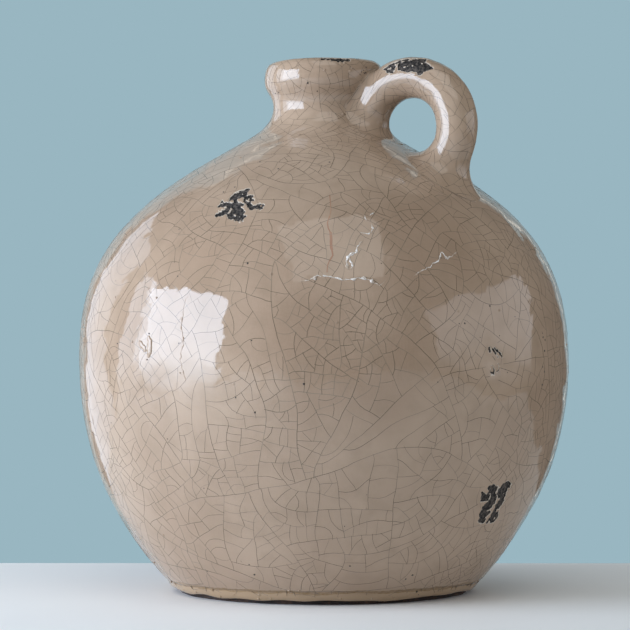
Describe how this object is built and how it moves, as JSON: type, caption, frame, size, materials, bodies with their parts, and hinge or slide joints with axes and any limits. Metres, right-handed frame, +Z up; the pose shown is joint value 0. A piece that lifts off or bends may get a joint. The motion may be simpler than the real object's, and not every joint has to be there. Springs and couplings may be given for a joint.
{
  "type": "glazed terracotta jug",
  "caption": "Round-bellied jug with a short waisted neck, a thick rolled lip and a loop handle from neck to shoulder, in glossy crackled glaze, for holding and pouring.",
  "frame": {"origin": "on the floor under the jug's axis, at the centre of the foot ring's underside", "axes": "+Z up along the jug's axis towards the mouth, +X from the axis towards the loop handle"},
  "size_m": [0.32, 0.32, 0.3461],
  "materials": {
    "terracotta": "matt fired clay",
    "bare_foot": "dark bare clay, wiped with engobe",
    "glaze": "gloss, crackled"
  },
  "bodies": {
    "root": {"foot_ring": "bare_foot", "base_slab": "terracotta", "lower_belly": "terracotta", "upper_belly": "terracotta", "neck_collar": "terracotta", "lip_roll": "terracotta", "handle_coil": "terracotta", "handle_top_luting": "terracotta", "handle_root_luting": "terracotta", "glaze_body": "glaze", "glaze_handle": "glaze"}
  },
  "joints": []
}
